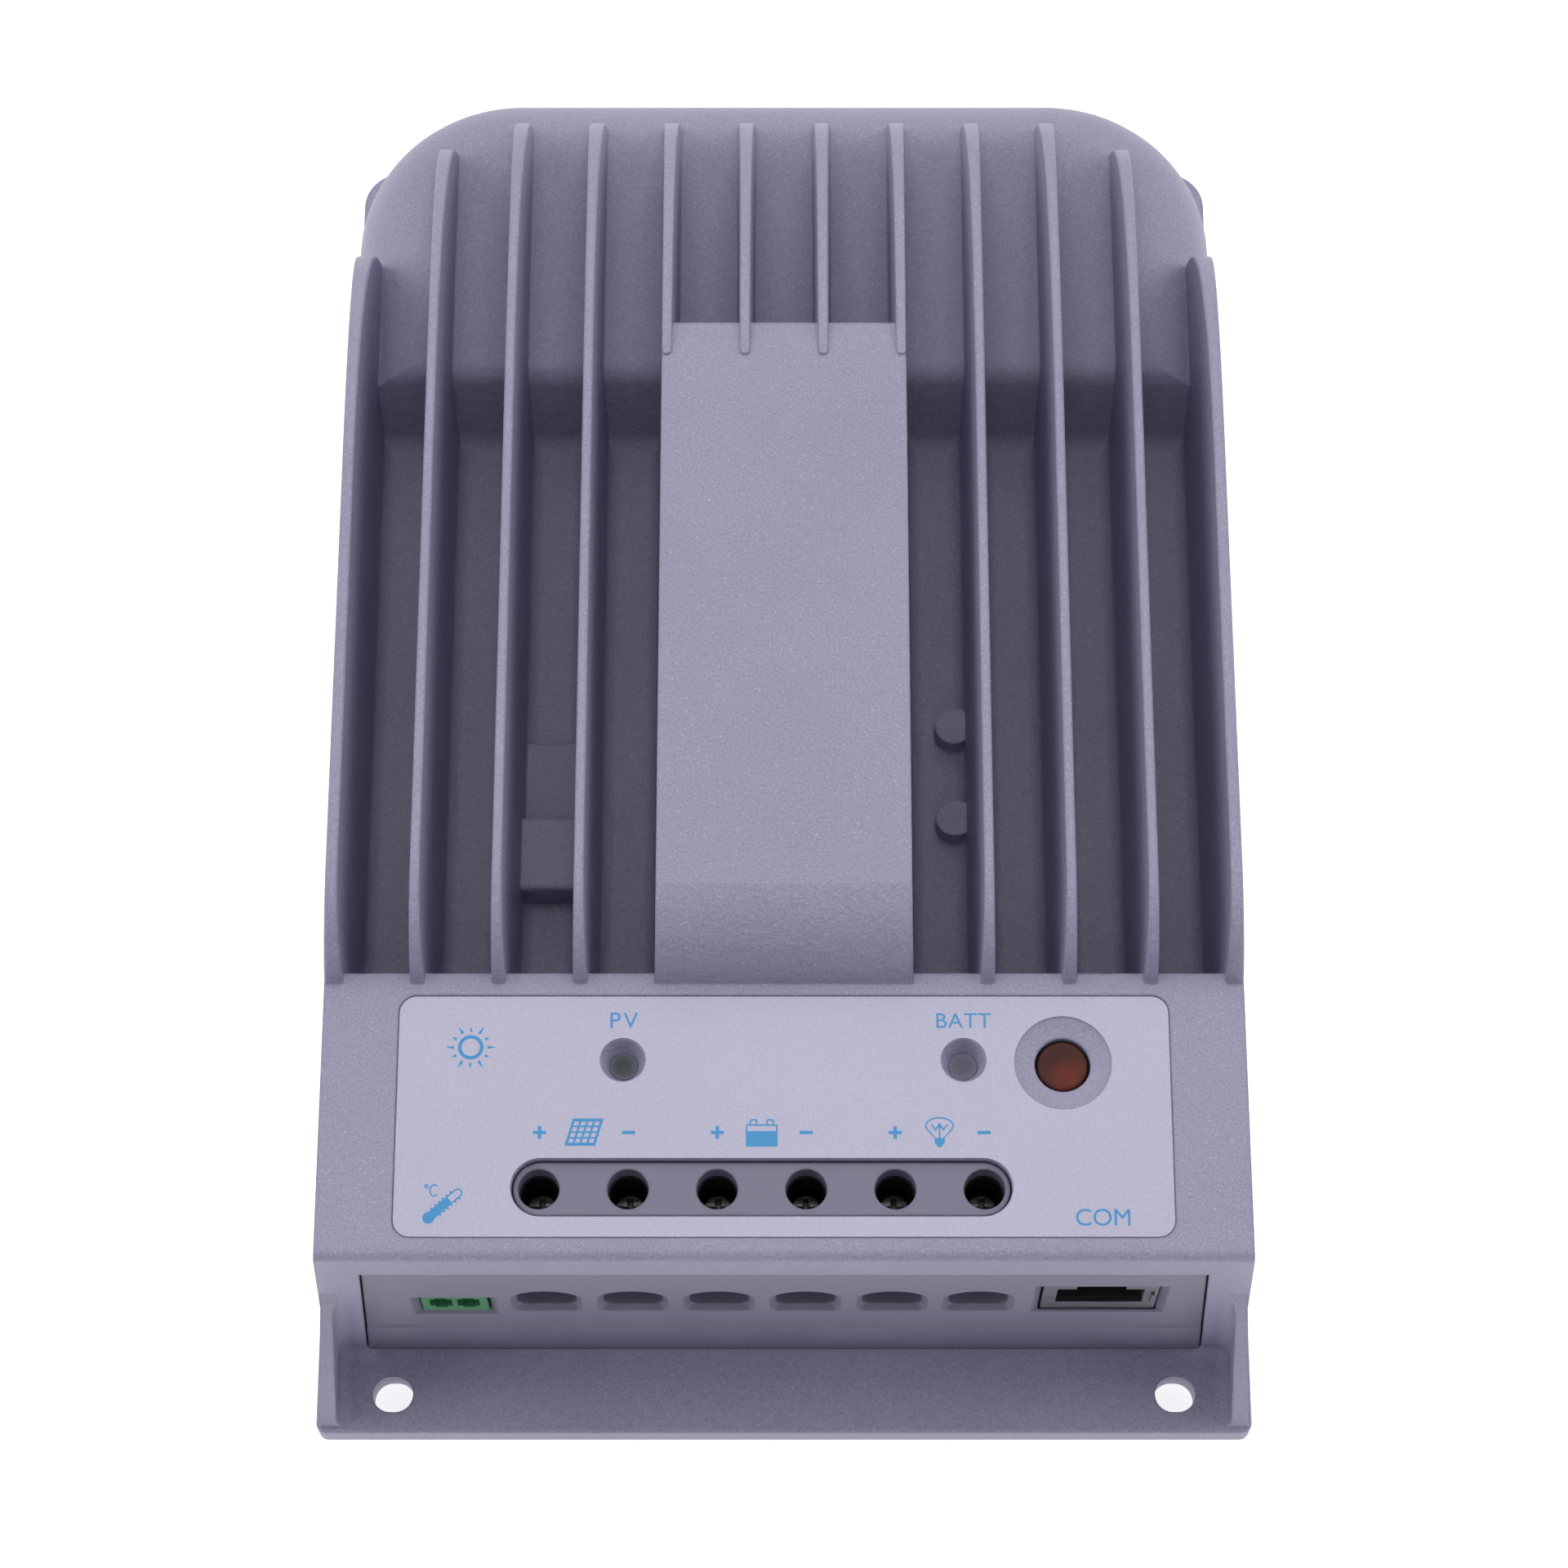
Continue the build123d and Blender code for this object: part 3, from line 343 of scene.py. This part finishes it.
def capacitor_can(name, top_z, facing):
    """Dark sleeve, open over the bare aluminium end of the can."""
    sleeve = srgb(30, 36, 52)
    bare = srgb(196, 198, 202)
    shader = Shader(name, sleeve, 0.3, Coat_Weight=0.2, Coat_Roughness=0.2)
    split = shader.tree.nodes.new("ShaderNodeSeparateXYZ")
    shader.link(shader.coords, split.inputs["Vector"])
    low, high = (top_z - 0.35 * MM, top_z - 0.2 * MM)
    if facing < 0:
        low, high = (top_z + 0.35 * MM, top_z + 0.2 * MM)
    end = shader.spread(split.outputs["Z"], 0.0, 1.0, low, high)
    film = shader.noise(4.0, 2.0)
    shader.paint(shader.mix(end, shader.mottle(sleeve, film, 0.12), bare))
    shader.link(end, shader.surface.inputs["Metallic"])
    shader.relief((film, 0.015), edge_mm=0.15)
    return shader.material


def silicone_pad():
    """Soft grey-blue heat pad with a faint weave."""
    colour = srgb(150, 160, 176)
    shader = Shader("silicone_pad", colour, 0.7)
    weave = shader.cells(0.5)
    shader.paint(shader.mottle(colour, weave, 0.1))
    shader.relief((weave, 0.03))
    return shader.material


def middle(node):
    """Centre of a node's box."""
    low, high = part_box(node)
    return (low + high) / 2


def top_middle(node):
    """Centre of the top face of a node's box."""
    low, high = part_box(node)
    return Vector(((low.x + high.x) / 2, (low.y + high.y) / 2, high.z))


finishes = {
    "cast_paint": powder_coat(),
    "cover_metal": sheet_paint(),
    "screw_steel": plated("zinc_screw", srgb(176, 176, 180), 0.32),
    "insert_plastic": moulding("insert_grey", srgb(119, 116, 139), 0.44, 0.3, 0.010, 0.5),
    "label_film": label_film(),
    "button_plastic": translucent_button(top_middle("button_cap")),
    "switch_plastic": moulding("switch_black", srgb(32, 32, 34)),
    "led_package": moulding("led_white", srgb(226, 224, 206), 0.35),
    "circuit_board": circuit_board(),
    "connector_black": moulding("connector_black", srgb(26, 26, 29), 0.5, 0.4, 0.02),
    "contact_gold": plated("contact_gold", srgb(226, 188, 98), 0.2, 0.3),
    "shell_metal": plated("shell_tin", srgb(122, 120, 128), 0.38, 0.8),
    "header_green": moulding("header_green", srgb(56, 128, 86), 0.45),
    "contact_tin": plated("contact_tin", srgb(196, 194, 192), 0.3, 0.4),
    "block_plastic": moulding("block_black", srgb(24, 24, 27), 0.5, 0.4, 0.02, specular=0.35),
    "package_black": moulding("package_epoxy", srgb(34, 34, 37), 0.6, 0.3, 0.03),
    "thermal_pad": silicone_pad(),
    "shunt_alloy": plated("shunt_alloy", srgb(168, 156, 136), 0.34),
    "clamp_steel": plated("clamp_nickel", srgb(120, 118, 118), 0.17, 0.35, edge_mm=0.3),
    "ferrite": ferrite(),
    "copper_wire": enamelled_copper(),
}
INK = print_ink()
LENSES = {}
for light, core, rim in (("pv", srgb(66, 78, 77), srgb(118, 120, 132)),
                         ("batt", srgb(106, 104, 121), srgb(132, 130, 149))):
    rod = f"{light}_light_pipe"
    LENSES[rod] = light_lens(f"{light}_lens", core, rim, top_middle(rod))
CANS = {
    1: capacitor_can("capacitor_2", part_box("output_capacitor_1")[1].z, 1),
    -1: capacitor_can("capacitor_0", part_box("input_capacitor_1")[0].z, -1),
}


def finish_of(node, slot):
    """Material of a node: its own where it has one, else its slot's."""
    if node in LENSES:
        return LENSES[node]
    if slot == "capacitor_sleeve":
        return CANS[1 if node.startswith("output") else -1]
    return finishes[slot]


def coat_cad_nodes():
    """Gives every CAD node its procedural finish."""
    for row in frame["record"]["subparts"]:
        shown = frame["nodes"][row["node"]]
        shown.data.materials.clear()
        shown.data.materials.append(finish_of(row["node"], row["material_slot"]))


def placed(name, data):
    """New object in the scene."""
    shown = bpy.data.objects.new(name, data)
    bpy.context.scene.collection.objects.link(shown)
    return shown


# ---------------------------------------------------------------- print on the label
INK_T = 0.02
CAPITAL_SHARE = 0.73     # height of a capital in the font's own size
LINE = 0.22              # thickness of a drawn line
TUBE_HALF = 0.69         # thermometer's tube, half its width
WORD_RISE = 5.5          # words above the lights they name
SIGN_RISE = 7.65         # plus and minus signs above the terminals
SIGN = 1.78
SIGN_LINE = 0.48


def circle(x, y, radius, count=28):
    """Points of a circle."""
    angles = [TAU * i / count for i in range(count)]
    return [(x + radius * math.cos(angle), y + radius * math.sin(angle)) for angle in angles]


def bar(x, y, width, height, shear=0.0, tilt=0.0):
    """Rectangle, leaning by shear and turned by tilt."""
    c, s = math.cos(tilt), math.sin(tilt)
    points = []
    for side, end in ((-1, -1), (1, -1), (1, 1), (-1, 1)):
        px = side * width / 2 + end * height / 2 * shear
        py = end * height / 2
        points.append((x + px * c - py * s, y + px * s + py * c))
    return points


def plus(x, y, size, width):
    """Outline of a plus sign."""
    arm = size / 2
    half = width / 2
    corner = [(arm, -half), (arm, half), (half, half)]
    points = []
    for turn in range(4):
        c, s = math.cos(turn * TAU / 4), math.sin(turn * TAU / 4)
        points += [(x + px * c - py * s, y + px * s + py * c) for px, py in corner]
    return points


def filled(loops):
    """Flat curve from closed loops in mm; a loop inside another is a hole."""
    curve = bpy.data.curves.new("outline", "CURVE")
    curve.dimensions = "2D"
    curve.fill_mode = "BOTH"
    curve.extrude = INK_T / 2 * MM
    for loop in loops:
        spline = curve.splines.new("POLY")
        spline.points.add(len(loop) - 1)
        for point, (x, y) in zip(spline.points, loop):
            point.co = (x * MM, y * MM, 0, 1)
        spline.use_cyclic_u = True
    return curve


def lettered(text, size, spacing):
    """Text curve whose capitals are size mm tall, about its own middle."""
    curve = bpy.data.curves.new("text", "FONT")
    curve.body = text
    curve.size = size / CAPITAL_SHARE * MM
    curve.space_character = spacing
    curve.align_x = "CENTER"
    curve.align_y = "CENTER"
    curve.extrude = INK_T / 2 * MM
    curve.resolution_u = 6
    return curve


def printed(name, curves, x=0.0, y=0.0, scale=1.0):
    """One printed piece on the label, made of curves that touch but don't overlap."""
    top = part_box("front_label")[1].z
    mesh = bmesh.new()
    for curve in curves:
        outline = placed("outline", curve)
        bpy.context.view_layer.update()
        shape = bpy.data.meshes.new_from_object(outline)
        mesh.from_mesh(shape)
        bpy.data.objects.remove(outline)
        bpy.data.meshes.remove(shape)
    data = bpy.data.meshes.new(name)
    mesh.to_mesh(data)
    mesh.free()
    place = Matrix.Translation((x * MM, y * MM, top + INK_T / 2 * MM))
    data.transform(place @ Matrix.Diagonal((scale, scale, 1, 1)))
    data.materials.clear()
    data.materials.append(INK)
    piece = placed(name, data)
    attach(piece, "chassis")


def word(name, text, x, y, size, spacing):
    """Printed abbreviation centred on x, y."""
    printed(name, [lettered(text, size, spacing)], x, y)


def arc(x, y, across, up, start, end, count=12):
    """Points of an elliptical arc between two angles in degrees."""
    points = []
    for i in range(count + 1):
        angle = math.radians(start + (end - start) * i / count)
        points.append((x + across * math.cos(angle), y + up * math.sin(angle)))
    return points


def rounded(x, y, width, height, radius):
    """Rounded rectangle."""
    points = []
    for quarter, (side, end) in enumerate(((1, 1), (-1, 1), (-1, -1), (1, -1))):
        points += arc(x + side * (width / 2 - radius), y + end * (height / 2 - radius),
                      radius, radius, quarter * 90, quarter * 90 + 90, 5)
    return points


def staple(x, foot, width, height, radius):
    """Outlined post, open at its foot."""
    outside = [(x + width / 2, foot)]
    inside = [(x - width / 2 + LINE, foot)]
    shoulder = foot + height - radius
    bend = radius - LINE
    for side in (1, -1):
        centre = x + side * (width / 2 - radius)
        start = 0 if side > 0 else 90
        outside += arc(centre, shoulder, radius, radius, start, start + 90, 5)
        inside += arc(2 * x - centre, shoulder, bend, bend, 180 - start, 90 - start, 5)
    return outside + [(x - width / 2, foot)] + inside + [(x + width / 2 - LINE, foot)]


def ribbon(points, width):
    """Mitred line of one width through points."""
    sides = ([], [])
    for i, (x, y) in enumerate(points):
        before = points[max(i - 1, 0)]
        after = points[min(i + 1, len(points) - 1)]
        legs = [Vector((x - before[0], y - before[1])), Vector((after[0] - x, after[1] - y))]
        legs = [leg.normalized() for leg in legs if leg.length]
        normals = [Vector((-leg.y, leg.x)) for leg in legs]
        middle_normal = sum(normals, Vector((0, 0))).normalized()
        reach = width / 2 / middle_normal.dot(normals[0])
        for side, sign in zip(sides, (1, -1)):
            side.append((x + sign * reach * middle_normal.x, y + sign * reach * middle_normal.y))
    return sides[0] + sides[1][::-1]


def solar_icon():
    """Leaning panel of four by four cells."""
    lean = 0.285
    loops = [bar(0, 0, 4.3, 3.97, lean)]
    for row in range(4):
        for column in range(4):
            up = (row - 1.5) * 0.83
            loops.append(bar((column - 1.5) * 0.96 + up * lean, up, 0.64, 0.58, lean))
    return [filled(loops)]


def battery_icon():
    """Case filled to its shoulder, with two terminals on its lid."""
    width = 4.5
    case = [rounded(0, -0.38, width, 3.28, 0.22), rounded(0, 0.645, width - 2 * LINE, 0.77, 0.1)]
    terminals = [staple(side * 1.17, 1.26, 1.13, 0.76, 0.34) for side in (-1, 1)]
    return [filled(case), filled(terminals)]


def bulb_icon():
    """Wide bulb tapering to a filled base, with a zigzag filament on a stem."""
    glass_middle = 0.95
    across, up = 2.1, 1.33
    neck = -0.88
    outside = arc(0, glass_middle, across, up, -28, 208, 28)
    outside += [(-0.7, neck), (-0.75, neck - 0.75)] + arc(0, -1.78, 0.5, 0.5, 190, 350, 10)
    outside += [(0.75, neck - 0.75), (0.7, neck)]
    glass = arc(0, glass_middle, across - LINE, up - LINE, -28, 208, 28)
    glass += [(-0.52, neck), (0.52, neck)]
    filament = ribbon([(-1.15, 1.2), (-0.58, 0.36), (0, 1.24), (0.58, 0.36), (1.15, 1.2)], LINE)
    stem = [(-0.1, neck), (0.1, neck), (0.1, 0.66), (0.26, 0.66), (0, 1.05), (-0.26, 0.66), (-0.1, 0.66)]
    return [filled([outside, glass]), filled([filament]), filled([stem])]


def thermometer_icon():
    """Leaning tube with a filled bulb, a filled lower part and tick marks."""
    level, end = 4.1, 5.7
    body = arc(0, 0, 0.9, 0.9, 50, 310, 24) + arc(end, 0, TUBE_HALF, TUBE_HALF, -90, 90)
    space = TUBE_HALF - LINE
    empty = [(level, -space)] + arc(end, 0, space, space, -90, 90) + [(level, space)]
    ticks = []
    for side, first in ((1, 1.25), (-1, 1.6)):
        for step in range(6):
            ticks.append(bar(first + step * 0.74, side * (TUBE_HALF + 0.14), 0.26, 0.28))
    tilt = Matrix.Rotation(math.radians(42), 2)
    leaning = [[tuple(tilt @ Vector(point)) for point in loop] for loop in [body, empty] + ticks]
    return [filled(leaning[:2]), filled(leaning[2:])]


def celsius_icon():
    """Degree ring and a thin capital C."""
    across, up = 0.68, 0.97
    letter = arc(0, 0, across, up, 42, 318, 24) + arc(0, 0, across - LINE, up - LINE, 318, 42, 24)
    return [filled([letter, circle(-1.1, 0.62, 0.34, 16), circle(-1.1, 0.62, 0.13, 12)])]


def sun_icon(radius=1.75):
    """Generic sun: a ring and twelve tapering rays."""
    loops = [circle(0, 0, radius), circle(0, 0, radius - 0.5)]
    for i in range(12):
        angle = TAU * i / 12
        c, s = math.cos(angle), math.sin(angle)
        inner, outer = radius + 0.5, radius + (1.7 if i % 2 == 0 else 1.2)
        half = 0.24
        loops.append([(c * inner - s * half, s * inner + c * half),
                      (c * inner + s * half, s * inner - c * half),
                      (c * outer, s * outer)])
    return [filled(loops)]


def print_label():
    """Words, signs and pictures, placed from the lights, terminals and sockets."""
    pv, batt = middle("pv_light_pipe") / MM, middle("batt_light_pipe") / MM
    word("print_pv", "PV", pv.x, pv.y + WORD_RISE, 2.4, 1.2)
    word("print_batt", "BATT", batt.x, batt.y + WORD_RISE, 2.25, 1.05)
    socket = middle("rj45_shell") / MM
    header = middle("sensor_header") / MM
    screws = [middle(f"terminal_screw_{i}") / MM for i in range(1, 7)]
    row_y = screws[0].y
    word("print_com", "COM", socket.x - 0.9, row_y - 4.3, 2.45, 0.98)
    signs = []
    for i, screw in enumerate(screws):
        if i % 2 == 0:
            signs.append(plus(screw.x, row_y + SIGN_RISE, SIGN, SIGN_LINE))
        else:
            signs.append(bar(screw.x, row_y + SIGN_RISE, SIGN, SIGN_LINE))
    printed("print_signs", [filled(signs)])
    pairs = [(screws[i].x + screws[i + 1].x) / 2 for i in (0, 2, 4)]
    printed("print_solar", solar_icon(), pairs[0], row_y + 7.7, 0.965)
    printed("print_battery", battery_icon(), pairs[1], row_y + 7.6, 0.955)
    printed("print_bulb", bulb_icon(), pairs[2], row_y + 7.7, 0.93)
    printed("print_thermometer", thermometer_icon(), header.x - 1.85, row_y - 4.25, 0.91)
    printed("print_celsius", celsius_icon(), header.x - 1.2, row_y - 0.45, 0.93)
    printed("print_sun", sun_icon(), header.x + 3.2, pv.y + 1.8)


# ---------------------------------------------------------------- inductor turns
TURNS = 21
WIRE = 1.25              # nominal radius of the winding wire
WIRE_SHARE = 0.92        # share of it that is built, so that turns don't touch
CORE_HOLE = 0.56         # the core's inner radius as a share of its outer one


def tube(mesh, path, radius, sides=8):
    """Closed tube along a closed path."""
    rings = []
    count = len(path)
    for i, point in enumerate(path):
        ahead = (path[(i + 1) % count] - path[i - 1]).normalized()
        side = ahead.orthogonal() if i == 0 else side - ahead * side.dot(ahead)
        side = side.normalized()
        up = ahead.cross(side)
        ring = []
        for k in range(sides):
            out = side * math.cos(TAU * k / sides) + up * math.sin(TAU * k / sides)
            ring.append(mesh.verts.new(point + out * radius))
        rings.append(ring)
    shift = min(range(sides), key=lambda s: (rings[-1][0].co - rings[0][s].co).length)
    for i in range(count):
        here, there = rings[i], rings[(i + 1) % count]
        turn = shift if i == count - 1 else 0
        for k in range(sides):
            mesh.faces.new((here[k], here[(k + 1) % sides],
                            there[(k + 1 + turn) % sides], there[(k + turn) % sides]))


def winding(name, node, core):
    """Separate turns of thick wire round a ring core."""
    core_low, core_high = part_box(core)
    centre = (core_low + core_high) / 2
    outer = (core_high.z - core_low.z) / 2
    inner = outer * CORE_HOLE
    section_middle = (outer + inner) / 2
    around = 2 * WIRE + 0.5
    loop = rounded(0, 0, (outer - inner) / MM + around, (core_high.x - core_low.x) / MM + around, 2.2)
    mesh = bmesh.new()
    for i in range(TURNS):
        angle = math.radians(20) + math.radians(320) * i / (TURNS - 1) + TAU / 4
        out = Vector((0, math.cos(angle), math.sin(angle)))
        path = [centre + out * (section_middle + a * MM) + Vector((b * MM, 0, 0)) for a, b in loop]
        tube(mesh, path, WIRE * MM * WIRE_SHARE)
    data = bpy.data.meshes.new(name)
    bmesh.ops.recalc_face_normals(mesh, faces=mesh.faces)
    mesh.to_mesh(data)
    mesh.free()
    for face in data.polygons:
        face.use_smooth = True
    data.materials.append(finishes["copper_wire"])
    piece = placed(name, data)
    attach(piece, "chassis")
    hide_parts(node)


# ---------------------------------------------------------------- floor, light, camera
def floor():
    """Plain pale sheet that the unit lies on."""
    mesh = bmesh.new()
    bmesh.ops.create_grid(mesh, x_segments=8, y_segments=8, size=3.0)
    data = bpy.data.meshes.new("floor")
    mesh.to_mesh(data)
    mesh.free()
    colour = (0.55, 0.55, 0.555, 1.0)
    shader = Shader("floor_paper", colour, 0.8, Specular_IOR_Level=0.1)
    shader.set("Emission Color", (1.0, 1.0, 1.0, 1.0))
    shader.set("Emission Strength", 0.8)
    fibre = shader.noise(3.0, 2.0)
    shader.paint(shader.mottle(colour, fibre, 0.006))
    data.materials.append(shader.material)
    sheet = placed("floor", data)
    sheet.location = (0, 0, cad_box[0].z - 0.05 * MM)


def softbox(name, place, aim, size, power):
    """Rectangular warm-white light aimed at a point."""
    light = bpy.data.lights.new(name, "AREA")
    light.shape = "RECTANGLE"
    light.size, light.size_y = size
    light.energy = power
    light.color = (1.0, 0.99, 0.955)
    shown = placed(name, light)
    shown.location = place
    shown.rotation_mode = "QUATERNION"
    shown.rotation_quaternion = (Vector(aim) - Vector(place)).to_track_quat("-Z", "Y")


def studio():
    """A soft light on each side, weaker ones behind, in front and above, and dim blue surroundings."""
    world = bpy.data.worlds.new("studio")
    bpy.context.scene.world = world
    world.use_nodes = True
    background = world.node_tree.nodes["Background"]
    background.inputs["Color"].default_value = (0.62, 0.76, 1.0, 1.0)
    background.inputs["Strength"].default_value = 0.07
    softbox("left_light", (-1.25, 0.2, 0.95), (0, 0, 0), (1.5, 1.2), 12.0)
    softbox("right_light", (1.25, 0.2, 0.95), (0, 0, 0), (1.5, 1.2), 11.3)
    softbox("back_light", (0.0, 1.3, 1.15), (0, 0, 0), (1.6, 1.0), 7.4)
    softbox("front_light", (0.0, -1.1, 1.2), (0, 0, 0.04), (1.6, 0.8), 4.6)
    softbox("top_light", (0.0, 0.12, 0.8), (0, 0.03, 0), (0.4, 0.3), 1.25)
    bpy.context.scene.view_settings.view_transform = "Standard"


def camera():
    """Above the unit's lower end, tilted up towards its fins."""
    data = bpy.data.cameras.new("camera")
    data.sensor_width = 36.0
    data.lens = 97.95
    shown = placed("camera", data)
    shown.location = (0, -0.2379, 0.6076)
    shown.rotation_euler = (math.radians(21.3), 0, 0)
    bpy.context.scene.camera = shown


camera()
floor()
studio()
coat_cad_nodes()
print_label()
for number in (1, 2):
    winding(f"inductor_turns_{number}", f"inductor_winding_{number}", f"inductor_core_{number}")
